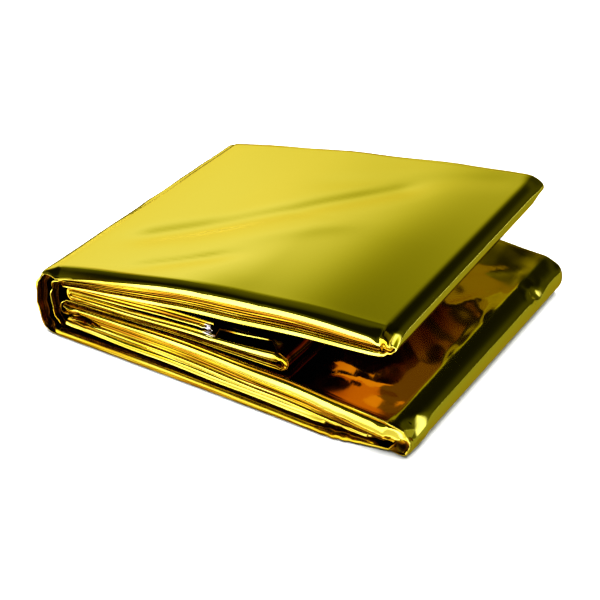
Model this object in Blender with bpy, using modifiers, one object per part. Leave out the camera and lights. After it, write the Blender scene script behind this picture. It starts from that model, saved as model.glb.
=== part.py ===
"""Emergency foil blanket, folded: one strip of metallised film laid back and forth into a packet.

The strip is drawn as a line in the XZ plane, which runs along each pass and round each fold, and is then
drawn out along Y as an open sheet. A Solidify modifier gives the sheet its thickness.
Units are metres in the scene. The tables below are in millimetres, measured from the spine (X), from the
front edge (Y) and from the surface that the packet lies on (Z).
"""

import math
from collections import namedtuple

import bmesh
import bpy

MM = 0.001

PACKET_LENGTH = 128.0
STRIP_WIDTH = 106.0
FULLEST = 3.0  # the strip's greatest thickness, which each pass takes its share of
STEP_ALONG = 9.0  # spacing of the stations along a pass
STEPS_ROUND = 4  # stations round a tight fold
STEPS_BROAD = 9  # stations round a fold taller than BROAD
BROAD = 5.0
PINCH = 0.35  # share of its thickness that the strip loses where a tight fold creases it

# One row for each pass of the strip, in the order that the film runs through them.
# start, end: where the pass begins and ends along X.
# height: of its middle at the start, half way and at the end, on the front edge.
# thick: its thickness. inset: how far its folded edge stands back from the packet's front and back.
# drawn: how far the front edge is drawn in at the pass's right end.
# turn: its yaw in degrees, counter-clockwise seen from above.
Pass = namedtuple("Pass", "name start end height thick inset drawn turn")
PASSES = (
    Pass("tuck_end", 62, 11.5, (20.6, 20.0, 16.8), 1.1, (1.6, 1.0), 0.0, 0.0),
    Pass("tuck", 11, 84.5, (14.3, 17.6, 18.2), 2.0, (1.0, 1.8), 0.0, 0.0),
    Pass("tuck_under", 86, 9.5, (15.2, 15.2, 12.2), 1.0, (2.0, 0.8), 0.0, -0.6),
    Pass("bottom_top", 9.5, 121, (10.0, 13.1, 10.9), 2.4, (-0.2, 0.3), 0.0, -1.2),
    Pass("base", 121, 6, (1.2, 1.2, 1.2), 2.4, (-0.9, 0.6), 3.8, -1.2),
    Pass("top", 6, 116, (21.6, 32.0, 35.6), 3.0, (0.2, 0.0), 0.0, 0.9),
    Pass("top_under", 116, 9, (30.2, 26.2, 18.5), 2.4, (0.5, 0.8), 0.0, 0.9),
    Pass("inner", 9, 114, (4.2, 5.0, 4.5), 1.8, (0.7, 1.2), 2.2, -1.2),
    Pass("inner_end", 115, 16, (7.6, 8.7, 7.0), 2.0, (0.3, 0.5), 1.0, -1.2),
)
DRAWN_LENGTH = 16.0  # the stretch at the right over which that edge is drawn in

# The packet is pressed flatter at the back than at the front: its height there, above the base pass, as a
# share of the front's, at the spine, half way and at the right.
BACK_SHARE = (0.872, 0.896, 1.02)
BASE_TOP = 2.4

# The passes lie a little unevenly: all of them roll together, and each folded edge wavers by itself.
ROLL, ROLL_LENGTH = 0.2, 41.0
WAVER, WAVER_LENGTH = 0.3, 29.0
WAVER_SHIFT = 2.4  # radians, from one pass to the next

# The base pass lies flat between these two X, and lifts off the surface beyond them. Its edges have a slight
# waist, so that it stands on its four corners.
FOOT = (10.0, 105.0)
FOOT_LIFT = 0.0012  # height per square of the distance
WAIST = 0.4

# One row for each fold between two passes, in the same order.
# side: 1 at the right, -1 at the left. square: 2 is an ellipse, more has flatter sides.
# reach: how far it bulges past the ends of its passes, at the front and the back.
# corner: how far its two ends are drawn in, at the front and the back.
Fold = namedtuple("Fold", "name side square reach corner")
FOLDS = (
    Fold("tuck_spine", -1, 2.0, (1.3, 1.3), (0.3, 0.3)),
    Fold("tuck_nose", 1, 2.0, (2.0, 2.0), (0.6, 0.9)),
    Fold("under_spine", -1, 2.0, (1.3, 1.3), (0.3, 0.3)),
    Fold("bottom_nose", 1, 2.3, (5.6, 5.6), (0.6, 1.2)),
    Fold("spine", -1, 2.35, (6.7, 5.5), (0.6, 1.0)),
    Fold("top_nose", 1, 2.2, (3.6, 3.7), (1.0, 0.2)),
    Fold("inner_spine", -1, 2.8, (4.8, 4.2), (0.9, 1.0)),
    Fold("inner_nose", 1, 2.0, (2.4, 2.4), (0.8, 1.6)),
)

# One row for each soft trough that runs over the top leaf: from, to (X, Y), depth and half width.
Trough = namedtuple("Trough", "start end depth spread")
TROUGHS = (
    Trough((26, 22), (84, 62), 0.9, 7.0),
    Trough((50, 70), (104, 92), 0.6, 8.0),
    Trough((60, 8), (76, 30), 0.5, 6.0),
)
TROUGH_FADE = 12.0  # how far past its ends a trough dies away

# How full the strip is across its width: thin at the folded edges, full inside them.
EDGE_ROWS = ((0.0, 0.35), (0.006, 0.78), (0.02, 1.0))
INNER_ROWS = 8

Station = namedtuple("Station", "x reach height thick inset corner turn waver leaf")


def between(a, b, share):
    return a + (b - a) * share


def blend(pair, other, share):
    return tuple(between(a, b, share) for a, b in zip(pair, other))


def through(heights, share):
    """The smooth line through three heights, at 0, 1/2 and 1."""
    first, middle, last = heights
    bulge = middle - (first + last) / 2
    return between(first, last, share) + 4 * bulge * share * (1 - share)


def pass_stations(row):
    """Stations along one pass, its two ends included."""
    steps = math.ceil(abs(row.end - row.start) / STEP_ALONG)
    right_end = max(row.start, row.end)
    stations = []
    for step in range(steps + 1):
        share = step / steps
        x = between(row.start, row.end, share)
        drawn = row.drawn * max(0.0, 1 - (right_end - x) / DRAWN_LENGTH)
        height = through(row.height, share)
        if row.name == "base":
            height += FOOT_LIFT * max(0.0, FOOT[0] - x, x - FOOT[1]) ** 2
            waver = WAIST * math.sin(math.pi * share)
        else:
            waver = WAVER * math.sin(math.tau * x / WAVER_LENGTH + WAVER_SHIFT * PASSES.index(row))
        stations.append(
            Station(
                x,
                (0.0, 0.0),
                height,
                row.thick,
                row.inset,
                (drawn, 0.0),
                row.turn,
                waver,
                row.name == "top",
            )
        )
    return stations


def signed_power(value, power):
    return math.copysign(abs(value) ** power, value)


def fold_stations(fold, last, first):
    """Stations round the fold from the last station of one pass to the first of the next."""
    broad = abs(first.height - last.height) > BROAD
    steps = STEPS_BROAD if broad else STEPS_ROUND
    pinch = 0.0 if broad else PINCH
    stations = []
    for step in range(1, steps):
        share = step / steps
        angle = math.pi * share
        out = math.sin(angle) ** (2 / fold.square)
        up = (1 - signed_power(math.cos(angle), 2 / fold.square)) / 2
        stations.append(
            Station(
                between(last.x, first.x, share),
                tuple(fold.side * reach * out for reach in fold.reach),
                between(last.height, first.height, up),
                between(last.thick, first.thick, share) * (1 - pinch * out),
                blend(last.inset, first.inset, share),
                tuple(
                    kept + drawn * out**2
                    for kept, drawn in zip(blend(last.corner, first.corner, share), fold.corner)
                ),
                between(last.turn, first.turn, share),
                between(last.waver, first.waver, share),
                False,
            )
        )
    return stations


def strip_line():
    """All stations of the strip, from one free end to the other."""
    line = pass_stations(PASSES[0])
    for fold, row in zip(FOLDS, PASSES[1:]):
        ahead = pass_stations(row)
        line += fold_stations(fold, line[-1], ahead[0]) + ahead
    return line


def trough_depth(x, y):
    """How far the top leaf dips at (x, y), under its soft diagonal troughs."""
    depth = 0.0
    for trough in TROUGHS:
        run = [b - a for a, b in zip(trough.start, trough.end)]
        length = math.hypot(*run)
        along = ((x - trough.start[0]) * run[0] + (y - trough.start[1]) * run[1]) / length
        aside = ((x - trough.start[0]) * run[1] - (y - trough.start[1]) * run[0]) / length
        beyond = max(0.0, -along, along - length)
        depth += trough.depth * math.exp(-((aside / trough.spread) ** 2) - (beyond / TROUGH_FADE) ** 2)
    return depth


def pressed(x, y, z):
    """How flat the packet is pressed at (x, y): 1 at the front and for the base pass."""
    back = through(BACK_SHARE, min(1.0, max(0.0, x / PACKET_LENGTH)))
    raised = min(1.0, max(0.0, (z - BASE_TOP) / BASE_TOP))
    return between(1.0, back, raised * y / STRIP_WIDTH)


def place(station, share):
    """The point of a station's crosswise line at this share of its width, and its thickness."""
    near = station.inset[0] + station.corner[0]
    far = STRIP_WIDTH - station.inset[1] - station.corner[1]
    y = between(near + station.waver, far - station.waver, share)
    x = station.x + between(*station.reach, y / STRIP_WIDTH)
    z = station.height
    if z > BASE_TOP:
        rising = min(1.0, (z - BASE_TOP) / BASE_TOP)
        z += ROLL * rising * math.sin(math.tau * x / ROLL_LENGTH)
    if station.leaf:
        z -= trough_depth(x, y)
    flat = pressed(x, y, z)
    if z > BASE_TOP:
        z = BASE_TOP + (z - BASE_TOP) * flat
    yaw = math.radians(station.turn)
    point = (x - y * math.sin(yaw), y + x * math.sin(yaw), z)
    return point, station.thick * flat


def width_rows():
    """(share of the width, fullness) from the front edge to the back edge."""
    first = EDGE_ROWS[-1][0]
    inner = [
        (between(first, 1 - first, row / INNER_ROWS), 1.0) for row in range(1, INNER_ROWS)
    ]
    return [*EDGE_ROWS, *inner, *((1 - share, full) for share, full in reversed(EDGE_ROWS))]


def folded_sheet(name):
    """The open sheet on the strip's line, with its thickness as a vertex group and a modifier."""
    rows = width_rows()
    shape = bmesh.new()
    fullness = shape.verts.layers.deform.verify()
    grid = []
    for station in strip_line():
        line = []
        for share, full in rows:
            point, thick = place(station, share)
            vertex = shape.verts.new([value * MM for value in point])
            vertex[fullness][0] = full * thick / FULLEST
            line.append(vertex)
        grid.append(line)
    for line, ahead in zip(grid, grid[1:]):
        for here in range(len(rows) - 1):
            shape.faces.new((line[here], line[here + 1], ahead[here + 1], ahead[here]))
    mesh = bpy.data.meshes.new(name)
    shape.to_mesh(mesh)
    shape.free()
    mesh.shade_smooth()
    sheet = bpy.data.objects.new(name, mesh)
    sheet.vertex_groups.new(name="fullness")
    solid = sheet.modifiers.new("thickness", "SOLIDIFY")
    solid.thickness = FULLEST * MM
    solid.offset = 0.0
    solid.vertex_group = "fullness"
    return sheet


def centre_on_base(sheet):
    """Moves the sheet so that the origin is under the middle of its solid, on the surface."""
    bpy.context.view_layer.update()
    solid = sheet.evaluated_get(bpy.context.evaluated_depsgraph_get())
    corners = [vertex.co for vertex in solid.data.vertices]
    for axis in (0, 1):
        values = [corner[axis] for corner in corners]
        sheet.location[axis] = -(min(values) + max(values)) / 2


def gold_film():
    """Gold-metallised polyester film."""
    material = bpy.data.materials.new("gold_film")
    material.use_nodes = True
    shader = material.node_tree.nodes["Principled BSDF"]
    shader.inputs["Base Color"].default_value = (0.90, 0.72, 0.12, 1.0)
    shader.inputs["Metallic"].default_value = 1.0
    shader.inputs["Roughness"].default_value = 0.15
    material.diffuse_color = (0.90, 0.72, 0.12, 1.0)
    return material


def clear_scene():
    for old in list(bpy.data.objects):
        bpy.data.objects.remove(old, do_unlink=True)


def main():
    clear_scene()
    collection = bpy.data.collections.new("emergency_foil_blanket")
    bpy.context.scene.collection.children.link(collection)
    blanket = folded_sheet("blanket")
    blanket.data.materials.append(gold_film())
    collection.objects.link(blanket)
    centre_on_base(blanket)


main()
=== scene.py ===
"""Looks of the folded emergency foil blanket: its gold film, laid on the folded strip of the frame.

The strip's line follows the part's: the same passes and folds, from nearly the same tables. Its thickness
is shared out among the plies of one thin film, which runs to and fro across the strip and turns back at its
front and back edges. Lengths are in millimetres until the mesh is made, measured from the spine (X), from
the front edge (Y) and from the surface that the packet lies on (Z).
"""

import math
from collections import namedtuple

import bpy
import numpy as np
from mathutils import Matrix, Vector, noise


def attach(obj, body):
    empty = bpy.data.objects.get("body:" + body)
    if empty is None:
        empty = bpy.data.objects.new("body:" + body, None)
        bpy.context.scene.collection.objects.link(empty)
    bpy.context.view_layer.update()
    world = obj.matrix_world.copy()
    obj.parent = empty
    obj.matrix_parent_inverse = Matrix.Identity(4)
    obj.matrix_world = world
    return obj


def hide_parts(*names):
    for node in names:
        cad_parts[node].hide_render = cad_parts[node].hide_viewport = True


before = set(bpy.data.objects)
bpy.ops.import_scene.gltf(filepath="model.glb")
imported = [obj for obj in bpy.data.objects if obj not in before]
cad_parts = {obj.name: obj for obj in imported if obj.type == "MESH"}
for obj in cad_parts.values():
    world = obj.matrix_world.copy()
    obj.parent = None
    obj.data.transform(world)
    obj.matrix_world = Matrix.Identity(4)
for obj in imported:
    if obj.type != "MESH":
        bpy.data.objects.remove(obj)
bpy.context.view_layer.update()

MM = 0.001

PACKET_LENGTH = 128.0
STRIP_WIDTH = 106.0
PACKET_ZERO = (-63.963, -52.554)  # X and Y of the packet's own zero in the frame

# The passes and folds of the strip. They are the part's, but tuck_under comes further forward and inner_end
# further left, bottom_nose reaches further and is more sloped at its top and squarer at its foot, top_nose is
# rounder, and the passes roll and waver less.
Pass = namedtuple("Pass", "name start end height thick inset drawn turn")
PASSES = (
    Pass("tuck_end", 62, 11.5, (20.6, 20.0, 16.8), 1.1, (1.6, 1.0), 0.0, 0.0),
    Pass("tuck", 11, 84.5, (14.3, 17.6, 18.2), 2.0, (1.0, 1.8), 0.0, 0.0),
    Pass("tuck_under", 86, 9.5, (15.2, 15.2, 12.2), 1.0, (0.8, 0.8), 0.0, -0.6),
    Pass("bottom_top", 9.5, 121, (10.0, 13.1, 10.9), 2.4, (-0.2, 0.3), 0.0, -1.2),
    Pass("base", 121, 6, (1.2, 1.2, 1.2), 2.4, (-0.9, 0.6), 3.8, -1.2),
    Pass("top", 6, 116, (21.6, 32.0, 35.6), 3.0, (0.2, 0.0), 0.0, 0.9),
    Pass("top_under", 116, 9, (30.2, 26.2, 18.5), 2.4, (0.5, 0.8), 0.0, 0.9),
    Pass("inner", 9, 114, (4.2, 5.0, 4.5), 1.8, (0.7, 1.2), 2.2, -1.2),
    Pass("inner_end", 115, 11, (7.6, 8.7, 6.9), 2.0, (0.3, 0.5), 1.0, -1.2),
)
DRAWN_LENGTH = 16.0

Fold = namedtuple("Fold", "name side square reach corner")
FOLDS = (
    Fold("tuck_spine", -1, 2.0, (1.3, 1.3), (0.3, 0.3)),
    Fold("tuck_nose", 1, 2.0, (2.0, 2.0), (0.6, 0.9)),
    Fold("under_spine", -1, 2.0, (1.3, 1.3), (0.3, 0.3)),
    Fold("bottom_nose", 1, 1.65, (6.4, 5.9), (0.0, 1.0)),
    Fold("spine", -1, 2.35, (6.7, 5.5), (0.6, 1.0)),
    Fold("top_nose", 1, 2.0, (3.6, 3.7), (1.0, 0.2)),
    Fold("inner_spine", -1, 2.8, (4.8, 4.2), (0.9, 1.0)),
    Fold("inner_nose", 1, 2.0, (2.4, 2.4), (0.8, 1.6)),
)

SQUARED = "bottom_nose"
SQUARED_BELOW = 3.2  # how square that fold is at its lower end

BACK_SHARE = (0.872, 0.896, 1.02)
BASE_TOP = 2.4
ROLL, ROLL_LENGTH = 0.13, 41.0
WAVER, WAVER_LENGTH = 0.18, 29.0
WAVER_SHIFT = 2.4
FOOT = (10.0, 105.0)
FOOT_LIFT = 0.0012
WAIST = 0.4

# The top leaf's soft troughs, and ridges where the depth is negative: the points they run through (X, Y),
# depth and half width. They are narrower than the part's, and bend.
Trough = namedtuple("Trough", "path depth spread")
TROUGHS = (
    Trough(((24, 30), (43, 42), (60, 55), (73, 69), (82, 79)), 0.8, 5.4),
    Trough(((34, 8), (50, 17)), 0.5, 3.2),
    Trough(((62, 80), (106, 98)), 0.2, 6.0),
    Trough(((33, 21), (55, 33), (74, 47)), -0.2, 5.0),
)
TROUGH_FADE = 9.0
# Behind the right half of its front edge the leaf rises to a low crown, at the left sooner than at the right.
# The part has no crown.
CROWN, CROWN_FROM, CROWN_TO = 1.6, (34.0, 72.0), (120.0, 66.0)
CROWN_REACH = (8.0, 28.0)
CROWN_BACK = 60.0  # how far from the back edge it starts to fall again

# Spacing of the stations along a pass: most of its length, and the length at its right end that is crumpled.
Spacing = namedtuple("Spacing", "coarse fine fine_length")
SPACING = {
    "tuck_under": Spacing(2.4, 1.2, 8.0),
    "bottom_top": Spacing(1.7, 1.1, 38.0),
    "base": Spacing(2.4, 1.0, 20.0),
    "inner": Spacing(2.4, 1.6, 16.0),
    "inner_end": Spacing(2.4, 1.6, 16.0),
}
USUAL_SPACING = Spacing(1.6, 0.8, 8.0)
STEPS_ROUND = 9  # round a tight fold
STEPS_BROAD = 26  # round one taller than BROAD
BROAD = 5.0

# PLIES plies of film share the strip's thickness, from its outer side to its inner side.
PLIES = 8
NOSES = PLIES // 2
NEST = 0.96  # share of the strip's thickness that the plies fill
PLY_GAP = 0.04  # half the space between two noses
SETTLE = 6.0  # how far behind the front edge the plies have settled into the strip
LIP = 0.55  # how much of the thickness the outermost ply's rolled back edge covers

# One row for each pass: its folded edges at the front, as seen in the opening, at the left, half way and at
# the right. main: which of the four noses is the fat one, from the top. high, low: where its face starts and
# ends. above, below: the top and bottom of the whole stack. recess: how far the thin noses stand back.
# deep: how much shade is painted on each of the four noses, from the top. lean: how many degrees the fat one
# leans back.
Front = namedtuple("Front", "name main high low above below recess deep lean")
FRONT_TABLE = (
    Front(
        "tuck_end", 2, (16.8, 18.9, 20.5), (16.2, 18.3, 19.8), (18.0, 20.9, 22.0), (15.9, 17.9, 19.2), 0.7,
        (0.3, 0.55, 0.1, 0.6), (10, 10, 10),
    ),
    Front(
        "tuck", 1, (15.4, 17.2, 19.6), (14.8, 16.0, 17.2), (16.2, 18.1, 20.0), (13.2, 15.0, 16.4), 0.5,
        (0.3, 0.1, 0.35, 0.5), (10, 10, 10),
    ),
    Front(
        "tuck_under", 1, (13.0, 15.1, 15.9), (12.7, 14.9, 15.3), (13.3, 15.4, 16.3), (12.5, 14.7, 14.9), 0.4,
        (0.4, 0.35, 0.5, 0.6), (3, 3, 3),
    ),
    Front(
        "bottom_top", 1, (12.0, 13.95, 11.5), (11.3, 11.5, 6.8), (12.6, 14.75, 12.3), (8.9, 8.7, 5.4), 0.5,
        (0.35, 0.1, 0.4, 0.65), (8, 9, 11),
    ),
    Front(
        "base", 0, (2.3, 2.6, 1.2), (1.5, 1.8, 0.6), (2.7, 3.0, 1.5), (0.1, 0.1, 0.1), 0.6,
        (0.3, 0.45, 0.5, 0.6), (6, 6, 6),
    ),
    Front(
        "top", 0, (19.9, 32.4, 34.9), (19.5, 29.8, 32.7), (23.1, 33.5, 37.1), (19.0, 27.9, 31.6), 1.2,
        (0.0, 0.55, 0.6, 0.65), (8, 10, 10),
    ),
    Front(
        "top_under", 3, (18.5, 26.1, 30.5), (18.0, 24.3, 28.9), (19.0, 27.9, 31.6), (17.2, 24.0, 28.5), 1.2,
        (0.6, 0.6, 0.5, 0.1), (8, 10, 10),
    ),
    Front(
        "inner", 0, (4.9, 4.75, 3.2), (4.3, 3.4, 2.2), (5.9, 6.2, 5.2), (2.9, 2.7, 1.6), 1.0,
        (0.1, 0.55, 0.85, 0.95), (9, 9, 6),
    ),
    Front(
        "inner_end", 1, (8.1, 7.95, 5.0), (7.5, 6.7, 3.9), (8.8, 8.7, 5.4), (5.0, 4.9, 3.3), 0.6,
        (0.3, 0.1, 0.3, 0.4), (9, 9, 8),
    ),
)
FRONTS = {row.name: row for row in FRONT_TABLE}
SHOULDER = (3.0, 2.3, 3.2)  # how far the top leaf's rounded front edge reaches back, left to right
SHOULDER_BOW = 1.5  # 1 rounds it as an ellipse, 2 makes it a straight bevel
FINE_LEAN = (-2.0, 18.0)  # how many degrees the thin noses lean back
ROUNDING = 0.24  # share of a nose's height that is rounded off above and below its face

# Round a fold the outermost nose on one side (0 or 3) thins to a rim, and the others stand back behind it.
# closed: where the fold is crushed at the front, how much of the way to its middle they fill.
# deep: how much shade is painted on them, where the fold begins and where it ends.
Rim = namedtuple("Rim", "name outer thick recess closed deep")
RIMS = (
    Rim("bottom_nose", 0, 0.5, 0.2, 0.97, (0.05, 1.0)),
    Rim("under_spine", 3, 0.35, 0.7, 0.9, (0.8, 0.8)),
    Rim("spine", 0, 0.5, 2.0, 0.0, (0.97, 0.97)),
    Rim("top_nose", 0, 0.6, 0.4, 0.97, (0.2, 0.3)),
    Rim("inner_spine", 3, 0.5, 1.6, 0.0, (0.95, 0.95)),
)

# Folds that are creased into flat facets: how many degrees of the fold each facet takes, and its radius.
Facets = namedtuple("Facets", "name degrees radius")
FACETED = (Facets("spine", 34.0, 8.5), Facets("inner_spine", 42.0, 6.0))

# A thin nose that has sprung up off its pass: between these two X, by this much at each.
LIFTED = "tuck"
LIFT_FROM, LIFT_TO, LIFT = 64.0, 84.5, (2.7, 3.8)
LIFT_EDGE = 1.4  # how long it takes to rise and to fall again
# Shade is painted on it from DARK_BEFORE its start to LIT_AFTER it, lifts over LIT_OVER, and is painted again
# at its end.
DARK_BEFORE, LIT_AFTER, LIT_OVER, LIT_SHORT = 1.7, 3.0, 5.0, 2.4

# Crumpled places: middle, radius, how far the film moves, size of the facets, and how much shade is painted
# on them (below 0, a painted highlight).
Crumple = namedtuple("Crumple", "name middle radius size cell deep")
CRUMPLES = (
    Crumple("leaf_tip", (118.5, 2.0, 32.5), 7.0, 0.8, 2.6, 0.0),
    Crumple("bottom_corner", (125.5, 3.0, 5.5), 10.0, 1.5, 5.5, 0.0),
    Crumple("corner_marks", (120.5, -0.2, 8.6), 5.0, 0.6, 1.0, 0.1),
    Crumple("bottom_edge", (106.0, -2.0, 2.0), 12.0, 0.45, 3.0, 0.1),
    Crumple("spine_pocket", (13.5, 0.5, 9.5), 7.5, 0.9, 3.2, 0.1),
    Crumple("spine_top", (1.5, 0.0, 17.0), 7.0, 0.6, 3.4, 0.0),
    Crumple("spine_foot", (4.0, 0.0, 3.0), 7.0, 0.6, 3.4, 0.0),
    Crumple("tuck_end_tip", (61.0, 1.0, 19.5), 4.0, 0.6, 1.6, -0.2),
    Crumple("tuck_tip", (86.0, 2.0, 17.0), 5.0, 0.45, 2.2, 0.2),
    Crumple("nick_left", (51.5, 1.0, 30.4), 2.0, 0.4, 1.3, 0.0),
    Crumple("nick", (60.0, 1.0, 31.8), 2.2, 0.5, 1.3, 0.0),
    Crumple("nick_right", (78.0, 1.0, 33.6), 2.0, 0.4, 1.3, 0.0),
    Crumple("band_right", (128.0, 83.0, 9.0), 8.0, 0.7, 4.0, 0.0),
    Crumple("back_corner", (126.0, 104.0, 8.0), 8.0, 0.7, 5.0, 0.0),
)
# Pockets in the folded edges, pushed back and painted with shade: middle, half size each way, and how far
# back they go.
Hollow = namedtuple("Hollow", "middle half depth")
HOLLOWS = (Hollow((16.5, 1.0, 8.9), (5.5, 3.0, 1.7), 2.4),)
# Where the gold has rubbed off a ragged tip: middle and radius.
BARE, BARE_RADIUS = (61.2, 1.5, 19.6), 2.3

# Places where folds are pressed together: middle, radius, the level they go to, and how flat.
Pinch = namedtuple("Pinch", "middle radius level share")
PINCHES = (
    Pinch((119.5, -0.5, 33.5), 7.0, 31.8, 0.85),
    Pinch((120.0, 106.0, 34.0), 8.0, 34.8, 0.35),
)

# Flat facets pressed into the round of the bottom fold: a point on each, its normal, middle and radius.
Press = namedtuple("Press", "point normal middle radius")
PRESSES = (
    Press((128.0, 10.2, 9.0), (0.8, -0.27, 0.54), (127.5, 5.7, 8.8), 7.5),
    Press((127.6, -0.9, 6.0), (0.64, -0.66, 0.4), (128.0, -1.0, 5.0), 6.0),
    Press((128.6, 86.5, 9.6), (0.78, -0.33, 0.53), (128.6, 84.2, 9.6), 3.7),
)
PRESSED_SHARE = 0.85  # 1 would press them quite flat

# Creases and soft ridges in the outermost ply of a pass: from, to (X, Y), height and half width.
Crease = namedtuple("Crease", "name start end height spread")
CREASES = (
    Crease("top", (61, 53), (72, 53.5), -0.12, 0.9),
    Crease("bottom_top", (96, 8), (106, 12.5), 0.55, 1.2),
    Crease("bottom_top", (106, 12.5), (115, 15.5), 0.5, 1.0),
    Crease("bottom_top", (97, 17), (107, 17.5), 0.45, 1.4),
    Crease("bottom_top", (107, 17.5), (109.5, 24), 0.45, 1.2),
    Crease("bottom_top", (109, 7), (118, 11), -0.4, 1.6),
    Crease("bottom_top", (101, 27), (111, 21), -0.35, 2.0),
    Crease("bottom_top", (104, 41), (117, 30), 0.4, 1.8),
    Crease("bottom_top", (103, 58), (115, 47), -0.3, 2.2),
    Crease("bottom_top", (110, 62), (118, 76), 0.45, 1.5),
    Crease("bottom_top", (106, 82), (119, 93), -0.25, 1.6),
    Crease("bottom_top", (114, 66), (121, 62), 0.3, 1.2),
)
WRINKLED = "bottom_top"  # the pass whose outermost ply is wrinkled all over its open part
WRINKLED_FROM, WRINKLED_TO = 84.0, 122.0
WRINKLE, WRINKLE_CELL, WRINKLE_SEED = 0.2, 20.0, 4

RAGGED = 1.6  # how unevenly the film ends at its two free ends
RAGGED_LENGTH = 6.0
OFF_FLOOR = 0.03  # the least height of any point
NO_LIMIT = 20.0

# One station of the strip. reach, inset and corner are at the front and at the back. kind: the number of its
# pass, or half way between the numbers of the two passes that its fold joins. share: how far along it is.
Line = namedtuple("Line", "x reach height thick inset corner turn waver leaf kind share")
NAMES = [row.name for row in PASSES]


def between(a, b, share):
    return a + (b - a) * share


def blend(pair, other, share):
    return tuple(between(a, b, share) for a, b in zip(pair, other))


def through(heights, share):
    """The smooth line through three heights, at 0, 1/2 and 1."""
    first, middle, last = heights
    bulge = middle - (first + last) / 2
    return between(first, last, share) + 4 * bulge * share * (1 - share)


def smooth(share):
    share = np.clip(share, 0.0, 1.0)
    return share * share * (3 - 2 * share)


def pass_places(row):
    """X of the stations along one pass, close together near its right end."""
    left, right = sorted((row.start, row.end))
    spacing = SPACING.get(row.name, USUAL_SPACING)
    middle = right - spacing.fine_length
    coarse = np.linspace(left, middle, math.ceil((middle - left) / spacing.coarse) + 1)
    fine = np.linspace(middle, right, math.ceil(spacing.fine_length / spacing.fine) + 1)
    places = np.concatenate([coarse, fine[1:]])
    return places if row.start < row.end else places[::-1]


def pass_stations(index, row):
    """Stations along one pass, its two ends included."""
    right_end = max(row.start, row.end)
    stations = []
    for x in pass_places(row):
        share = (x - row.start) / (row.end - row.start)
        drawn = row.drawn * max(0.0, 1 - (right_end - x) / DRAWN_LENGTH)
        height = through(row.height, share)
        if row.name == "base":
            height += FOOT_LIFT * max(0.0, FOOT[0] - x, x - FOOT[1]) ** 2
            waver = WAIST * math.sin(math.pi * share)
        else:
            waver = WAVER * math.sin(math.tau * x / WAVER_LENGTH + WAVER_SHIFT * index)
        leaf = float(row.name == "top")
        ends = (0.0, 0.0), height, row.thick, row.inset, (drawn, 0.0)
        stations.append(Line(x, *ends, row.turn, waver, leaf, index, share))
    return stations


def fold_stations(index, fold, last, first):
    """Stations round the fold from the last station of one pass to the first of the next."""
    steps = STEPS_BROAD if abs(first.height - last.height) > BROAD else STEPS_ROUND
    stations = []
    for step in range(1, steps):
        share = step / steps
        angle = math.pi * share
        square = between(fold.square, SQUARED_BELOW, smooth(share)) if fold.name == SQUARED else fold.square
        out = math.sin(angle) ** (2 / square)
        cosine = math.cos(angle)
        up = (1 - math.copysign(abs(cosine) ** (2 / square), cosine)) / 2
        corner = blend(last.corner, first.corner, share)
        stations.append(
            Line(
                between(last.x, first.x, share),
                tuple(fold.side * reach * out for reach in fold.reach),
                between(last.height, first.height, up),
                between(last.thick, first.thick, share),
                blend(last.inset, first.inset, share),
                tuple(kept + drawn * out**2 for kept, drawn in zip(corner, fold.corner)),
                between(last.turn, first.turn, share),
                between(last.waver, first.waver, share),
                between(last.leaf, first.leaf, smooth(share)),
                index + 0.5,
                share,
            )
        )
    return stations


def strip_line():
    """All stations of the strip, from one free end to the other, with an array for each column."""
    stations = pass_stations(0, PASSES[0])
    for index, (fold, row) in enumerate(zip(FOLDS, PASSES[1:])):
        ahead = pass_stations(index + 1, row)
        stations += fold_stations(index, fold, stations[-1], ahead[0]) + ahead
    return Line(*(np.array(column, float) for column in zip(*stations)))


LINE = strip_line()
IN_PASS = LINE.kind == np.floor(LINE.kind)
ARC = np.concatenate([[0.0], np.cumsum(np.hypot(np.diff(LINE.x), np.diff(LINE.height)))])


def across_folds(values):
    """values, which hold in the passes, carried on evenly round the folds."""
    return np.interp(ARC, ARC[IN_PASS], values[IN_PASS])


def waves(*places, seed=0.0):
    """Smooth noise from about -1 to 1 at each of the places, which are arrays or numbers."""
    full = np.broadcast_arrays(*[np.asarray(place, float) for place in places])
    flat = [values.ravel() for values in full]
    while len(flat) < 3:
        flat.append(np.full(flat[0].shape, seed))
    found = [noise.noise(Vector(point) + Vector((seed, 2 * seed, 3 * seed))) for point in zip(*flat)]
    return np.array(found).reshape(full[0].shape)


def in_pass(name):
    """Which stations are in that pass."""
    return LINE.kind == NAMES.index(name)


def round_fold(name):
    """Which stations are in that fold, and how far each is into it, from 0 at its ends to 1."""
    here = LINE.kind == [fold.name for fold in FOLDS].index(name) + 0.5
    return here, np.sin(math.pi * LINE.share[here]) ** 0.4


def from_left(row, here):
    """How far each of those stations of a pass is along it, from 0 at its left end to 1."""
    left, right = sorted((row.start, row.end))
    return (LINE.x[here] - left) / (right - left)


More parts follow.
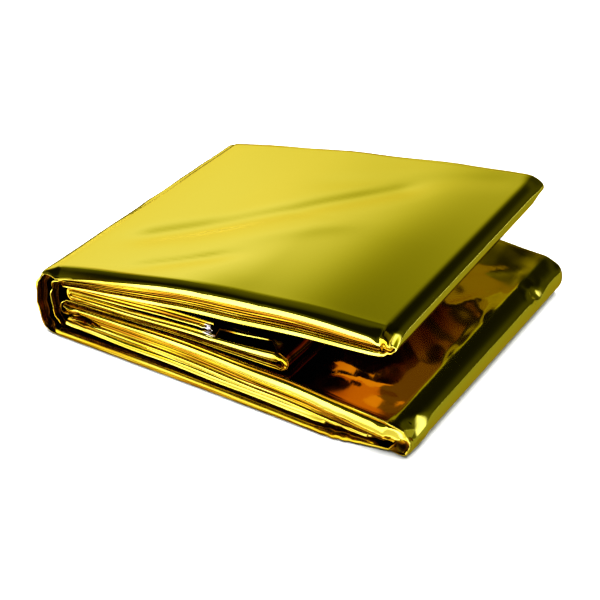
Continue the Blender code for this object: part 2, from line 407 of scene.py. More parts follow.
def front_levels():
    """The bounds between the four noses at each station, as heights off the strip's middle, outwards."""
    bounds = np.zeros((len(LINE.x), NOSES + 1))
    for index, row in enumerate(PASSES):
        here = LINE.kind == index
        front = FRONTS[row.name]
        share = from_left(row, here)
        edges = (front.high, front.low, front.above, front.below)
        high, low, above, below = (through(edge, share) for edge in edges)
        stack = []
        for bound in range(NOSES + 1):
            if bound <= front.main:
                stack.append(between(above, high, bound / front.main) if front.main else above)
            else:
                stack.append(between(low, below, (bound - front.main - 1) / max(1, NOSES - 1 - front.main)))
        stack = np.array(stack).T - LINE.height[here][:, None]
        bounds[here] = stack if row.start < row.end else -stack[:, ::-1]
    bounds = np.stack([across_folds(column) for column in bounds.T], axis=1)
    for rim in RIMS:
        here, weight = round_fold(rim.name)
        half = NEST * LINE.thick[here] / 2
        middle = between(-half, -FOLD_RADIUS[here], rim.closed)
        filled = 0.9 if rim.closed else 0.33
        shares = (0, filled, 0.5 + filled / 2, 1)
        rims = [half] + [between(half - rim.thick, middle, share) for share in shares]
        if rim.outer:
            rims = [-level for level in rims[::-1]]
        for bound, level in enumerate(rims):
            bounds[here, bound] = between(bounds[here, bound], level, weight)
    return bounds


def fold_radius():
    """Half the height of the fold that each station is in, and 0 in the passes."""
    radius = np.zeros(len(LINE.x))
    for index in range(len(FOLDS)):
        here = np.flatnonzero(LINE.kind == index + 0.5)
        radius[here] = abs(LINE.height[here[-1] + 1] - LINE.height[here[0] - 1]) / 2
    return radius


def lifted_by():
    """How far the sprung nose stands off its pass, at each station of that pass."""
    x = LINE.x[in_pass(LIFTED)]
    lift = between(*LIFT, (x - LIFT_FROM) / (LIFT_TO - LIFT_FROM))
    return lift * smooth((x - LIFT_FROM) / LIFT_EDGE) * smooth((LIFT_TO - x) / LIFT_EDGE)


def tight_limit():
    """For each station, how far the film may stand off the strip's middle: little inside a tight fold."""
    limit = np.full(len(LINE.x), NO_LIMIT)
    for index in range(len(FOLDS)):
        here = LINE.kind == index + 0.5
        limit[here] = between(NO_LIMIT, 0.85 * FOLD_RADIUS[here], np.sin(math.pi * LINE.share[here]) ** 0.25)
    return limit


LIFTED_BY = lifted_by()
UPRIGHT = np.gradient(LINE.x) / np.hypot(np.gradient(LINE.x), np.gradient(LINE.height))
FOLD_RADIUS = fold_radius()
BOUNDS = front_levels()
LIMIT = tight_limit()

# How unevenly the noses run: their bounds, the fat ones' lean, and their tips, in long waves and in fine.
BOUND_UNEVEN, LEAN_UNEVEN, TIP_UNEVEN = 0.07, 2.5, (0.1, 0.03)
NOSE_LEAST = 0.1  # height
BACK_OF_ROUND = 1.1  # how far back a nose's rounding reaches, for each millimetre of its height


def nose_of(index):
    """Where nose number index of the front lies at each station: a dictionary of arrays."""
    upper = BOUNDS[:, index] - PLY_GAP
    lower = BOUNDS[:, index + 1] + PLY_GAP
    upper = upper + BOUND_UNEVEN * waves(ARC / 7, index, seed=3.1) * (index > 0)
    lower = lower + BOUND_UNEVEN * waves(ARC / 7, index + 1, seed=3.1) * (index < NOSES - 1)
    lower = np.minimum(lower, upper - NOSE_LEAST)
    recess = np.zeros(len(ARC))
    drop = ROUNDING * (upper - lower)
    reach = BACK_OF_ROUND * drop
    main = np.zeros(len(ARC))
    bow = np.ones(len(ARC))
    lean = between(*FINE_LEAN, 0.5 + 0.7 * waves(ARC / 31, index, seed=4.7))
    for number, row in enumerate(PASSES):
        here = LINE.kind == number
        front = FRONTS[row.name]
        place = index if row.start < row.end else NOSES - 1 - index
        main[here] = place == front.main
        if place == front.main:
            lean[here] = through(front.lean, from_left(row, here)) + LEAN_UNEVEN * waves(ARC[here] / 17)
        recess[here] = 0.0 if place == front.main else front.recess * (0.6 + 0.25 * abs(place - front.main))
        if row.name == "top" and index == 0:
            share = from_left(row, here)
            drop[here] = through(front.above, share) - through(front.high, share)
            reach[here] = through(SHOULDER, share)
            bow[here] = SHOULDER_BOW
    recess, drop, reach = across_folds(recess), across_folds(drop), across_folds(reach)
    for rim in RIMS:
        here, weight = round_fold(rim.name)
        recess[here] = between(recess[here], rim.recess * (index != rim.outer), weight)
        rounded = ROUNDING * (upper[here] - lower[here])
        drop[here] = between(drop[here], rounded, weight)
        reach[here] = between(reach[here], BACK_OF_ROUND * rounded, weight)
    if index == 0:
        lifted = in_pass(LIFTED)
        upper[lifted] += LIFTED_BY
        lower[lifted] += LIFTED_BY
    tip = recess + TIP_UNEVEN[0] * waves(ARC / 13, index, seed=7.7)
    tip += TIP_UNEVEN[1] * waves(ARC / 2.5, index, seed=9.2)
    limit = LIMIT.copy()
    for rim in RIMS:
        here, weight = round_fold(rim.name)
        limit[here] = np.maximum(limit[here], rim.closed * FOLD_RADIUS[here])
    upper = np.clip(upper, -limit, limit)
    lower = np.clip(lower, -limit, limit)
    drop = np.minimum(drop, 0.9 * (upper - lower))
    return {
        "upper": upper,
        "lower": lower,
        "drop": drop,
        "reach": reach,
        "under": np.minimum(ROUNDING * (upper - lower), drop),
        "tip": tip,
        "main": across_folds(main),
        "bow": 1 + (across_folds(bow) - 1) * IN_PASS,
        "lean": np.tan(np.radians(across_folds(lean))) * UPRIGHT,
    }


NOSE = [nose_of(index) for index in range(NOSES)]


def near_edge():
    return LINE.inset[:, 0] + LINE.corner[:, 0] + 0.3 * LINE.waver


def far_edge():
    return STRIP_WIDTH - LINE.inset[:, 1] - LINE.corner[:, 1] - LINE.waver


def off_line(x, y, start, end):
    """How far (x, y) is to the side of the line from start to end, and how far past its ends."""
    run = [b - a for a, b in zip(start, end)]
    length = math.hypot(*run)
    along = ((x - start[0]) * run[0] + (y - start[1]) * run[1]) / length
    aside = ((x - start[0]) * run[1] - (y - start[1]) * run[0]) / length
    return aside, np.maximum(0.0, np.maximum(-along, along - length))


def trough_depth(x, y):
    """How far the top leaf dips at (x, y), under its soft troughs and its crown."""
    depth = 0.0
    for trough in TROUGHS:
        away = []
        for start, end in zip(trough.path, trough.path[1:]):
            aside, beyond = off_line(x, y, start, end)
            away.append((aside / trough.spread) ** 2 + (beyond / TROUGH_FADE) ** 2)
        depth = depth + trough.depth * np.exp(-np.minimum.reduce(away))
    return depth * smooth((y + 1.0) / 15.0) * smooth((STRIP_WIDTH + 2 - y) / 18.0) - crown_height(x, y)


def crown_height(x, y):
    """How far the leaf stands up at (x, y) behind the right half of its front edge."""
    start, end = ((x - first) / (last - first) for first, last in (CROWN_FROM, CROWN_TO))
    reach = between(*CROWN_REACH, np.clip((x - CROWN_FROM[0]) / (CROWN_TO[0] - CROWN_FROM[0]), 0, 1))
    behind = (1 - np.exp(-np.maximum(0.0, y) / reach)) * smooth((STRIP_WIDTH - y) / CROWN_BACK)
    return CROWN * smooth(start) * smooth(end) * behind


def middle_at(y):
    """The strip's middle at each station and at that y, before its yaw, and how flat it is pressed there."""
    x = LINE.x + between(LINE.reach[:, 0], LINE.reach[:, 1], y / STRIP_WIDTH)
    z = LINE.height.copy()
    rising = np.clip((z - BASE_TOP) / BASE_TOP, 0.0, 1.0)
    z += ROLL * rising * np.sin(math.tau * x / ROLL_LENGTH)
    z -= LINE.leaf * trough_depth(x, y)
    back = through(BACK_SHARE, np.clip(x / PACKET_LENGTH, 0.0, 1.0))
    raised = np.clip((z - BASE_TOP) / BASE_TOP, 0.0, 1.0)
    flat = between(1.0, back, raised * y / STRIP_WIDTH)
    z = np.where(z > BASE_TOP, BASE_TOP + (z - BASE_TOP) * flat, z)
    return x, z, flat


def ply_level(ply, flat, bunched=0.0):
    """How far a ply stands off the strip's middle. Bunched, the hidden plies keep to its inner half."""
    half = NEST * LINE.thick * flat / 2
    even = 1 - 2 * ply / (PLIES - 1)
    inner = 1.0 if ply == 0 else -0.15 - 0.85 * (ply - 1) / (PLIES - 2)
    return np.clip(half * between(even, inner, bunched), -LIMIT, LIMIT)


def facet_dip(y):
    """How far the film falls inside the smooth round of a creased fold at each station, for that y."""
    dip = np.zeros(len(ARC))
    for creased in FACETED:
        here, _ = round_fold(creased.name)
        turn = 180 * LINE.share[here] / creased.degrees + 0.35 * waves(y[here] / 22, seed=creased.radius)
        off_middle = (turn - np.round(turn)) * math.radians(creased.degrees)
        half = math.radians(creased.degrees / 2)
        dip[here] = creased.radius * (1 - math.cos(half) / np.cos(off_middle))
    return dip


def distance(points, middle):
    return np.linalg.norm(points - np.array(middle), axis=-1)


def crumpled(points):
    """The points, moved as the crumpled places ask."""
    moved = points.copy()
    for number, site in enumerate(CRUMPLES):
        away = distance(points, site.middle)
        near = away < site.radius
        spot = points[near] / site.cell
        dice = np.random.default_rng(number + 5)
        shift = np.zeros_like(spot)
        for _ in range(5):
            run, bend, push = (v / np.linalg.norm(v) for v in dice.normal(size=(3, 3)))
            phase = spot @ run + 0.25 * np.sin(2.1 * spot @ bend + dice.uniform(0, math.tau)) + dice.uniform()
            shift += np.outer(4 * np.abs(phase - np.round(phase)) - 1, push)
        moved[near] += 0.5 * site.size * shift * smooth(1 - away[near] / site.radius)[:, None]
    return moved


def pinched(points):
    """The points, with the pinched places pressed flat."""
    for site in PINCHES:
        away = distance(points, site.middle)
        share = site.share * smooth(1.4 * (1 - away / site.radius))
        points[..., 2] = between(points[..., 2], site.level, share)
    return points


def hollowness(points, site):
    """How far into a dark pocket each point is, from 0 at its rim to 1."""
    away = (((points - np.array(site.middle)) / np.array(site.half)) ** 2).sum(axis=-1)
    return np.clip(1 - away, 0, 1)


def hollowed(points):
    """The points, moved back in the dark pockets."""
    for site in HOLLOWS:
        points[..., 1] += site.depth * smooth(1.5 * hollowness(points, site))
    return points


def pressed(points):
    """The points, with the flat facets pressed in."""
    for site in PRESSES:
        normal = np.array(site.normal) / np.linalg.norm(site.normal)
        proud = np.maximum(0.0, (points - np.array(site.point)) @ normal)
        away = distance(points, site.middle)
        share = PRESSED_SHARE * smooth(2.5 * (1 - away / site.radius))
        points = points - (share * proud)[..., None] * normal
    return points


def ragged_ends(points):
    """The points, with the film's two free ends torn uneven."""
    for end, direction in ((0, 1), (-1, -1)):
        away = np.abs(ARC - ARC[end])
        near = away < RAGGED_LENGTH
        reach = waves(points[end, :, 1] / 2.3, np.arange(points.shape[1]) / 3.7, seed=6.1)
        fade = smooth(1 - away[near] / RAGGED_LENGTH)
        points[near, :, 0] += direction * RAGGED * fade[:, None] * reach
    return points


def crease_height(y):
    """How far the outermost ply stands up in its creases and wrinkles at each station, for that y."""
    height = np.zeros(len(ARC))
    for crease in CREASES:
        here = in_pass(crease.name)
        away = np.hypot(*off_line(LINE.x[here], y[here], crease.start, crease.end))
        height[here] += crease.height * np.exp(-away / crease.spread)
    here = in_pass(WRINKLED)
    x, across = LINE.x[here], y[here]
    spot = np.stack([x, 0.7 * across], axis=1) / WRINKLE_CELL
    dice = np.random.default_rng(WRINKLE_SEED)
    facets = np.zeros(len(x))
    for number in range(4):
        run, bend = (v / np.linalg.norm(v) for v in dice.normal(size=(2, 2)))
        phase = (1 + 0.35 * number) * spot @ run + 0.3 * np.sin(1.7 * spot @ bend + dice.uniform(0, math.tau))
        phase += dice.uniform()
        facets += (4 * np.abs(phase - np.round(phase)) - 1) / (1 + 0.35 * number)
    shown = smooth((x - WRINKLED_FROM) / 8) * smooth((WRINKLED_TO - x) / 3) * smooth(across / 5)
    height[here] += WRINKLE * shown * facets
    return height


def film_row(y, level, ply, settled):
    """One lengthwise row of the film: its points at each station. level is what the front asks of it."""
    x, z, flat = middle_at(y)
    if settled:
        share = smooth((y - near_edge() - 1.0) / (SETTLE - 1.0))
        bunched = smooth((y - near_edge() - SETTLE) / SETTLE) * smooth((far_edge() - y - 1.5) / SETTLE)
        level = between(level, ply_level(ply, flat, bunched), share)
    level = level - facet_dip(y)
    if ply == 0 and settled:
        level = level + crease_height(y)
    along_x, along_z = np.gradient(x), np.gradient(z)
    length = np.hypot(along_x, along_z)
    x = x - level * along_z / length
    z = z + level * along_x / length
    yaw = np.radians(LINE.turn)
    return np.stack([x - y * np.sin(yaw), y + x * np.sin(yaw), z], axis=1)


TURN = np.radians((0, 22, 45, 66, 90))
BULGE = 0.07  # how far the middle of a nose's face stands out, for each millimetre of its height


def nose_rows(index):
    """Rows round one nose of the front, from its upper ply to its lower ply."""
    nose = NOSE[index]
    rows = []
    edge = near_edge() + nose["tip"]
    for angle in TURN:
        y = edge + nose["reach"] * (1 - math.sin(angle) ** nose["bow"])
        level = nose["upper"] - nose["drop"] * (1 - math.cos(angle) ** nose["bow"])
        rows.append((y, level, 2 * index))
    face_top = nose["upper"] - nose["drop"]
    face_end = nose["lower"] + nose["under"]
    middle = (face_top + face_end) / 2
    rows.append((edge - BULGE * (face_top - face_end), middle, 2 * index))
    for angle in TURN[::-1]:
        y = edge + BACK_OF_ROUND * nose["under"] * (1 - math.sin(angle))
        level = nose["lower"] + nose["under"] * (1 - math.cos(angle))
        rows.append((y, level, 2 * index + 1))
    return [(y + nose["lean"] * (level - middle), level, ply) for y, level, ply in rows]


FRONT_ROWS = (2.6, 6.0)  # rows of a hidden ply behind the front edge
MID_SHARES = (0.12, 0.9)
BACK_ROWS = (1.2,)
FACE_ROWS, FACE_ENDS = 50, (9.0, 0.9)  # rows of the outermost ply, and how far they stop short of its edges
FACE_SHARES = (0.0, 0.4, 0.75)  # rows from there to its front edge
# Rows round the back edge: how far down the thickness or on to the next ply, and how far in from the edge.
LIP_ROWS = ((LIP + 0.1, 0.5), (LIP, 0.1), (0.4, 0.0), (0.14, 0.05), (0.03, 0.35), (0.0, FACE_ENDS[1]))
LIP_UNEVEN = 0.15
TURN_ROWS = ((0.0, 0.35), (0.25, 0.05), (0.5, 0.0), (0.75, 0.05), (1.0, 0.35))
TURN_RECESS, TURN_UNEVEN = 1.3, 0.35


def hidden_places(tip, back):
    """Y of the rows of a hidden ply, from its front edge to its back edge."""
    near, far = near_edge(), far_edge()
    places = [near + tip + inward for inward in FRONT_ROWS]
    places += [between(near, far, share) for share in MID_SHARES]
    return places + [back - inward for inward in BACK_ROWS]


def film_rows():
    """All rows of the film, from the outermost ply's back edge to the innermost's: (y, level, ply, form)."""
    rows = []
    near, far = near_edge(), far_edge()
    nose = NOSE[0]
    for share, inward in LIP_ROWS:
        y = far - inward + LIP_UNEVEN * waves(ARC / 11, seed=4.4)
        rows.append((y, share, 0, "lip"))
    face_near, face_far = near + FACE_ENDS[0], far - FACE_ENDS[1]
    start = near + nose["tip"] + nose["reach"]
    places = [between(face_far, face_near, step / (FACE_ROWS + 1)) for step in range(1, FACE_ROWS + 1)]
    places += [between(face_near, start, share) for share in FACE_SHARES]
    rows += [(y, nose["upper"], 0, "ply") for y in places]
    for index in range(NOSES):
        rows += [(y, level, ply, "nose") for y, level, ply in nose_rows(index)]
        ply = 2 * index + 1
        nose = NOSE[index]
        back = far - TURN_RECESS - TURN_UNEVEN * waves(ARC / 15, index, seed=5.5)
        rows += [(y, nose["lower"], ply, "ply") for y in hidden_places(nose["tip"], back)]
        if index == NOSES - 1:
            break
        ahead = NOSE[index + 1]
        rows += [(back - inward, share, ply, "turn") for share, inward in TURN_ROWS]
        rows += [(y, ahead["upper"], ply + 1, "ply") for y in hidden_places(ahead["tip"], back)[::-1]]
    return rows


def row_points(y, level, ply, form):
    """The points of one row. For the back edge's rows, level is a share, as in LIP_ROWS and TURN_ROWS."""
    flat = middle_at(y)[2]
    if form == "lip":
        level = np.clip(ply_level(0, flat) - level * NEST * LINE.thick * flat, -LIMIT, LIMIT)
    elif form == "turn":
        level = between(ply_level(ply, flat), ply_level(ply + 1, flat), level)
    return film_row(y, level, ply, settled=form == "ply")


def new_object(name, data):
    """A new object with that data, in the scene."""
    made = bpy.data.objects.new(name, data)
    bpy.context.scene.collection.objects.link(made)
    return made


def build_film():
    """The film as one mesh, with its lie, painted shade, bareness and streaks noted at each point."""
    rows = film_rows()
    points = np.stack([row_points(*row) for row in rows], axis=1)
    points = ragged_ends(points)
    deep = painted_shade_of(rows, points)
    bare = smooth(2.5 * (1 - distance(points, BARE) / BARE_RADIUS))
    points = pressed(crumpled(hollowed(pinched(points))))
    stations, width = points.shape[:2]
    points[..., 0] += PACKET_ZERO[0]
    points[..., 1] += PACKET_ZERO[1]
    points[..., 2] = np.maximum(points[..., 2], OFF_FLOOR)
    index = np.arange(stations * width).reshape(stations, width)
    faces = np.stack([index[:-1, :-1], index[:-1, 1:], index[1:, 1:], index[1:, :-1]], axis=-1).reshape(-1, 4)
    mesh = bpy.data.meshes.new("film")
    mesh.from_pydata((points.reshape(-1, 3) * MM).tolist(), [], faces.tolist())
    mesh.shade_smooth()
    lie_of(mesh, points)
    for name, values in (("deep", deep), ("bare", bare), ("streaked", streak_of(rows))):
        attribute = mesh.attributes.new(name, "FLOAT", "POINT")
        attribute.data.foreach_set("value", values.astype(np.float32).ravel())
    mesh.materials.append(film_material())
    return new_object("film", mesh)


def lie_of(mesh, points):
    """Notes where each point lies on the film: how far along it and how far across it, in millimetres."""
    steps = np.linalg.norm(np.diff(points, axis=1), axis=2).mean(axis=0)
    across = np.concatenate([[0.0], np.cumsum(steps)])
    lie = np.zeros(points.shape)
    lie[..., 0] = ARC[:, None]
    lie[..., 1] = across[None, :]
    attribute = mesh.attributes.new("lie", "FLOAT_VECTOR", "POINT")
    attribute.data.foreach_set("vector", lie.astype(np.float32).ravel())


def streak_of(rows):
    """How finely streaked each point is, in bumps and in painted fine highlights and shade: the folded edges
    most, a fat nose less towards the right.
    """
    streaked = np.zeros((len(ARC), len(rows)))
    for number, (_, _, ply, form) in enumerate(rows):
        if form == "nose":
            main = NOSE[ply // 2]["main"]
            streaked[:, number] = 1 - 0.85 * main * smooth((LINE.x - 25) / 45)
        elif form != "ply":
            streaked[:, number] = 1.0
    return streaked


# Painted shade, heavier further into the folds. In the wedge, more shade is painted to the left of
# WEDGE_FROM, over WEDGE_REACH.
WEDGE_SHADE, WEDGE_FROM, WEDGE_REACH = (0.2, 0.7), 103.0, 18.0
INSIDE_SHADE = 0.8  # painted shade on the outermost ply of the passes that others cover
TURN_SHADE = (0.2, 0.7)  # painted shade on the back edges' folds, on their round and at their sides
# Painted shade on the hidden plies, at the front and further back, from HIDDEN_FROM over HIDDEN_REACH.
HIDDEN_SHADE, HIDDEN_FROM, HIDDEN_REACH = (0.5, 1.0), 2.0, 6.0
HOLLOW_SHADE = 0.9  # how much shade is painted into a pocket


def painted_shade_of(rows, points):
    """How much shade is painted on each point, from 0 on the outside to 1 far into the folds."""
    deep = np.zeros((len(ARC), len(rows)))
    # Painted shade on the outermost ply: where other passes cover it, and in the wedge.
    inside = (LINE.kind < NAMES.index("bottom_top")) | (LINE.kind > NAMES.index("top_under"))
    wedge = between(*WEDGE_SHADE, smooth((WEDGE_FROM - LINE.x) / WEDGE_REACH))
    outer = np.where(inside, INSIDE_SHADE, wedge * (in_pass("bottom_top") | in_pass("top_under")))
    noses = [nose_painted_shade(index) for index in range(NOSES)]
    for number, (y, level, ply, form) in enumerate(rows):
        if form == "nose":
            column = noses[ply // 2]
        elif form == "turn":
            column = between(*TURN_SHADE, abs(2 * level - 1))
        elif ply == 0:
            column = outer
        else:
            column = between(*HIDDEN_SHADE, smooth((y - HIDDEN_FROM) / HIDDEN_REACH))
            # Shade is painted on the ply under the sprung nose, more the higher the nose stands.
            if ply == 1:
                column[in_pass(LIFTED)] += LIFTED_BY
        deep[:, number] = column
    # Painted shade, or a painted highlight, at the crumpled places.
    for site in CRUMPLES:
        away = distance(points, site.middle)
        deep += site.deep * smooth(1.5 * (1 - away / site.radius))
    # Painted shade in the pockets.
    for site in HOLLOWS:
        deep += HOLLOW_SHADE * smooth(2.5 * hollowness(points, site) - 0.5)
    return np.clip(deep, 0, 1)


def nose_painted_shade(index):
    """How much shade is painted on nose number index of the front at each station."""
    column = np.zeros(len(ARC))
    for number, row in enumerate(PASSES):
        place = index if row.start < row.end else NOSES - 1 - index
        column[LINE.kind == number] = 0.75 * FRONTS[row.name].deep[place]
    column = across_folds(column)
    for rim in RIMS:
        here, weight = round_fold(rim.name)
        deep = between(*rim.deep, smooth(4 * LINE.share[here] - 1.5))
        # The outer rim gets a broken painted highlight: its painted shade wavers along it.
        if index == rim.outer:
            deep = np.clip(0.25 + 0.9 * waves(ARC[here] / 3.5, seed=5.1), 0, 0.8)
        column[here] = between(column[here], deep, weight)
    # Painted shade on the sprung nose: dark at its start and end, lit along its middle.
    if index == 0:
        lifted = in_pass(LIFTED)
        x = LINE.x[lifted]
        shown = smooth((x - LIFT_FROM - LIT_AFTER) / LIT_OVER) * (x < LIFT_TO - LIT_SHORT)
        column[lifted] = np.where(x > LIFT_FROM - DARK_BEFORE, 1 - shown, column[lifted])
    return np.clip(column + 0.12 * waves(ARC / 9, index, seed=2.9) * (column > 0.05), 0, 1)


# The film's colour: its own gold, painted orange where it mirrors other film, and painted shade far into the
# folds.
GOLD = (1.0, 0.91, 0.18)
OCHRE = (0.68, 0.47, 0.025)
AMBER = (0.4, 0.19, 0.012)
BROWN = (0.13, 0.042, 0.004)
UMBER = (0.01, 0.004, 0.0008)
SILVER = (0.7, 0.66, 0.74)
TONES = ((0.0, GOLD), (0.28, OCHRE), (0.55, AMBER), (0.8, BROWN), (1.0, UMBER))
EDGE_TINT = (1.0, 0.8, 0.35, 1.0)  # seen along its surface
SATIN = (0.07, 0.13)  # the range of its roughness
# Its fine streaks, in bumps and in painted highlights and shade: their scale along and across the film, how
# much painted highlight and shade they give, and how high.
STREAK_SCALE, STREAK_SHADE, STREAK_BUMP = (0.03, 1.7, 1.0), (-0.22, 0.34), 0.00012


def new_node(tree, kind, inputs=(), **properties):
    """A new shader node of that kind, with those values on its inputs and properties."""
    node = tree.nodes.new("ShaderNode" + kind)
    for name, value in properties.items():
        setattr(node, name, value)
    for name, value in dict(inputs).items():
        node.inputs[name].default_value = value
    return node


def new_material(name):
    """A material of that name, its node tree and its shader."""
    material = bpy.data.materials.new(name)
    material.use_nodes = True
    return material, material.node_tree, material.node_tree.nodes["Principled BSDF"]


def noted(tree, name):
    """What the film's mesh notes under that name."""
    return new_node(tree, "Attribute", attribute_name=name)


def film_material():
    """Gold-metallised film: mirror bright, a little satin, painted a darker orange where it mirrors other
    film and painted darker in the folds.
    """
    material, tree, shader = new_material("gold_film_looks")
    link = tree.links.new
    shader.inputs["Metallic"].default_value = 1.0
    shader.inputs["Specular Tint"].default_value = EDGE_TINT
    colour = new_node(tree, "ValToRGB")
    elements = colour.color_ramp.elements
    for position, _ in TONES[1:-1]:
        elements.new(position)
    for element, (_, tone) in zip(elements, TONES):
        element.color = (*tone, 1.0)
    worn = new_node(tree, "Mix", data_type="RGBA")
    worn.inputs["B"].default_value = (*SILVER, 1.0)
    link(noted(tree, "bare").outputs["Fac"], worn.inputs["Factor"])
    link(colour.outputs["Color"], worn.inputs["A"])
    link(worn.outputs["Result"], shader.inputs["Base Color"])

    place = new_node(tree, "TexCoord")
    grain = new_node(tree, "TexNoise", {"Scale": 60.0, "Detail": 3.0})
    rough = new_node(tree, "MapRange")
    rough.inputs["To Min"].default_value, rough.inputs["To Max"].default_value = SATIN
    link(place.outputs["Object"], grain.inputs["Vector"])
    link(grain.outputs["Fac"], rough.inputs["Value"])
    link(rough.outputs["Result"], shader.inputs["Roughness"])

    stretch = new_node(tree, "Mapping", {"Scale": STREAK_SCALE})
    streaks = new_node(tree, "TexNoise", {"Scale": 1.0, "Detail": 1.0, "Roughness": 0.6})
    swing = new_node(tree, "MapRange", {"From Min": 0.3, "From Max": 0.7})
    swing.inputs["To Min"].default_value, swing.inputs["To Max"].default_value = STREAK_SHADE
    link(noted(tree, "lie").outputs["Vector"], stretch.inputs["Vector"])
    link(stretch.outputs["Vector"], streaks.inputs["Vector"])
    link(streaks.outputs["Fac"], swing.inputs["Value"])
    streaked = noted(tree, "streaked")
    # The painted shade, with the streaks' painted highlights and shade, picks the colour from the ramp.
    shaded = new_node(tree, "Math", operation="MULTIPLY_ADD", use_clamp=True)
    link(swing.outputs["Result"], shaded.inputs[0])
    link(streaked.outputs["Fac"], shaded.inputs[1])
    link(noted(tree, "deep").outputs["Fac"], shaded.inputs[2])
    link(shaded.outputs["Value"], colour.inputs["Fac"])
    bump = new_node(tree, "Bump", {"Distance": STREAK_BUMP})
    link(streaked.outputs["Fac"], bump.inputs["Strength"])
    link(streaks.outputs["Fac"], bump.inputs["Height"])
    link(bump.outputs["Normal"], shader.inputs["Normal"])
    return material


# The camera and the studio round it. Metres, in the frame's own axes.
CAMERA_AT = (0.203651, -0.346650, 0.257216)
LOOK_AT = (0.003917, -0.010580, 0.010013)
LENS, SENSOR = 90.0, 36.0
FLOOR = ((-3.0, -3.0), (3.0, -3.0), (3.0, 3.0), (-3.0, 3.0))


def make_camera():
    data = bpy.data.cameras.new("camera")
    data.lens, data.sensor_width = LENS, SENSOR
    camera = new_object("camera", data)
    camera.location = CAMERA_AT
    camera.rotation_euler = (Vector(LOOK_AT) - Vector(CAMERA_AT)).to_track_quat("-Z", "Y").to_euler()
    bpy.context.scene.camera = camera


def flat_object(name, height, outline, material):
    """A flat object with those corners (X, Y)."""
    mesh = bpy.data.meshes.new(name)
    mesh.from_pydata([(*corner, height) for corner in outline], [], [range(len(outline))])
    mesh.materials.append(material)
    return new_object(name, mesh)


def make_floor():
    material, _, shader = new_material("floor_white")
    shader.inputs["Base Color"].default_value = (0.9, 0.9, 0.9, 1.0)
    shader.inputs["Roughness"].default_value = 1.0
    shader.inputs["Specular IOR Level"].default_value = 0.0
    floor = flat_object("floor", 0.0, FLOOR, material)


# Cards that only the film mirrors: a bright one on the floor in front, dimmer ones nearer and all round, and
# two warm ones under the top leaf, whose images lie in the wedge towards its front right corner.
Card = namedtuple("Card", "name height outline strength colour")
AMBER_OUTLINE = (
    (0.026, -0.027), (0.036, -0.033), (0.0447, -0.031), (0.0447, -0.022), (0.0375, -0.0245), (0.031, -0.022),
)
BROWN_OUTLINE = ((0.0447, -0.031), (0.052, -0.03), (0.055, -0.006), (0.047, -0.008), (0.0447, -0.022))
CARDS = (
    Card("front_card", 4e-4, ((-0.5, -0.9), (0.5, -0.9), (0.5, -0.075), (-0.5, -0.075)), 2.5, (1, 1, 1)),
    Card("near_card", 4e-4, ((-0.3, -0.075), (0.3, -0.075), (0.3, -0.06), (-0.3, -0.06)), 0.8, (1, 1, 0.8)),
    Card("left_card", 5e-4, ((-0.9, -0.06), (-0.07, -0.06), (-0.07, 0.9), (-0.9, 0.9)), 0.2, (1, 1, 0.5)),
    Card("right_card", 5e-4, ((0.0632, -0.06), (0.9, -0.06), (0.9, 0.9), (0.067, 0.9)), 0.26, (1, 1, 0.3)),
    Card("back_card", 5e-4, ((-0.07, 0.058), (0.066, 0.058), (0.066, 0.9), (-0.07, 0.9)), 0.31, (1, 1, 0.3)),
    Card("amber_card", 0.026, AMBER_OUTLINE, 0.75, (1.0, 0.42, 0.04)),
    Card("brown_card", 0.026, BROWN_OUTLINE, 0.16, (1.0, 0.5, 0.06)),
)


def glowing(name, strength, colour):
    """A material that only glows, evenly."""
    material, tree, _ = new_material(name)
    tree.nodes.clear()
    glow = new_node(tree, "Emission", {"Strength": strength, "Color": (*colour, 1.0)})
    out = new_node(tree, "OutputMaterial")
    tree.links.new(glow.outputs["Emission"], out.inputs["Surface"])
    return material


def make_card(row):
    """A flat glowing card that only reflections show."""
    glow = glowing(row.name + "_glow", row.strength, row.colour)
    card = flat_object(row.name, row.height, row.outline, glow)
    card.visible_camera = False
    card.visible_diffuse = False
    card.visible_shadow = False


def make_lights():
    """One broad soft lamp overhead, which the film doesn't mirror, and the cards, which it does."""
    data = bpy.data.lights.new("ceiling", "AREA")
    data.shape = "DISK"
    data.size = 3.0
    data.energy = 150.0
    lamp = new_object("ceiling", data)
    lamp.location = (0.0, 0.0, 2.0)
    lamp.visible_glossy = False
    for row in CARDS:
        make_card(row)


# How bright the studio is: by its azimuth in degrees, 0 straight behind the packet and 90 on its right, and
# by the sine of its elevation. Where it is dimmer than this, it is also warmer.
ROUND_FULL, HIGH_FULL = 0.7, 1.0
ROUND_GLOW = (
    (-180, 0.08), (-100, 0.08), (-62, 0.7), (-39, 0.7), (-33, 0.62), (-28, 0.5),
    (-20, 0.27), (-10, 0.08), (40, 0.05), (58, 0.1), (66, 1.3), (95, 1.3),
    (115, 0.8), (145, 0.8), (162, 0.08), (180, 0.08),
)
HIGH_GLOW = (
    (0.0, 1.15), (0.04, 1.0), (0.31, 1.0), (0.38, 0.9), (0.44, 0.7), (0.5, 0.45),
    (0.56, 0.24), (0.63, 0.13), (0.72, 0.12), (1.0, 0.1),
)


def ramp(tree, stops, full):
    """A colour ramp from (position, brightness) stops, warmer where it is dimmer than full."""
    node = new_node(tree, "ValToRGB")
    elements = node.color_ramp.elements
    elements[0].position, elements[1].position = stops[0][0], stops[-1][0]
    for position, _ in stops[1:-1]:
        elements.new(position)
    for element, (_, value) in zip(elements, stops):
        element.color = (value, value, value * min(1.0, value / full) ** 2, 1.0)
    return node


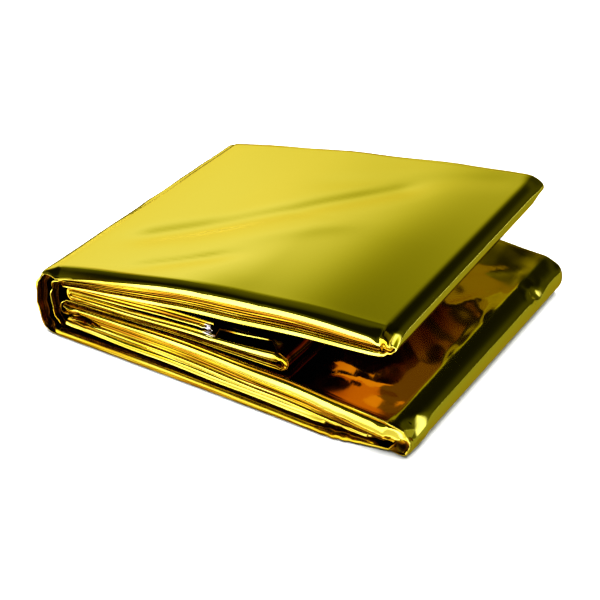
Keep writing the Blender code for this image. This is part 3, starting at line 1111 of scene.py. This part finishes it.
def make_world():
    """The studio that the film mirrors, and the plain white that the camera sees behind the packet."""
    world = bpy.data.worlds.new("studio")
    world.use_nodes = True
    tree = world.node_tree
    tree.nodes.clear()
    link = tree.links.new
    coords = new_node(tree, "TexCoord")
    split = new_node(tree, "SeparateXYZ")
    azimuth = new_node(tree, "Math", operation="ARCTAN2")
    turned = new_node(tree, "MapRange", {"From Min": -math.pi, "From Max": math.pi})
    round_glow = ramp(tree, [((degrees + 180) / 360, value) for degrees, value in ROUND_GLOW], ROUND_FULL)
    high_glow = ramp(tree, HIGH_GLOW, HIGH_FULL)
    both = new_node(tree, "Mix", data_type="RGBA", blend_type="MULTIPLY")
    both.inputs["Factor"].default_value = 1.0
    studio = new_node(tree, "Background")
    backdrop = new_node(tree, "Background", {"Strength": 1.2, "Color": (1.0, 1.0, 1.0, 1.0)})
    rays = new_node(tree, "LightPath")
    pick = new_node(tree, "MixShader")
    out = new_node(tree, "OutputWorld")
    link(coords.outputs["Generated"], split.inputs["Vector"])
    link(split.outputs["X"], azimuth.inputs[0])
    link(split.outputs["Y"], azimuth.inputs[1])
    link(azimuth.outputs["Value"], turned.inputs["Value"])
    link(turned.outputs["Result"], round_glow.inputs["Fac"])
    link(split.outputs["Z"], high_glow.inputs["Fac"])
    link(round_glow.outputs["Color"], both.inputs["A"])
    link(high_glow.outputs["Color"], both.inputs["B"])
    link(both.outputs["Result"], studio.inputs["Color"])
    link(rays.outputs["Is Camera Ray"], pick.inputs["Fac"])
    link(studio.outputs["Background"], pick.inputs[1])
    link(backdrop.outputs["Background"], pick.inputs[2])
    link(pick.outputs["Shader"], out.inputs["Surface"])
    bpy.context.scene.world = world


def set_view():
    scene = bpy.context.scene
    scene.view_settings.view_transform = "Standard"
    scene.view_settings.look = "Medium High Contrast"
    scene.cycles.max_bounces = 16
    scene.cycles.glossy_bounces = 12
    scene.cycles.caustics_reflective = False


film = build_film()
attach(film, "root")
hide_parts("blanket")
make_floor()
make_lights()
make_world()
make_camera()
set_view()
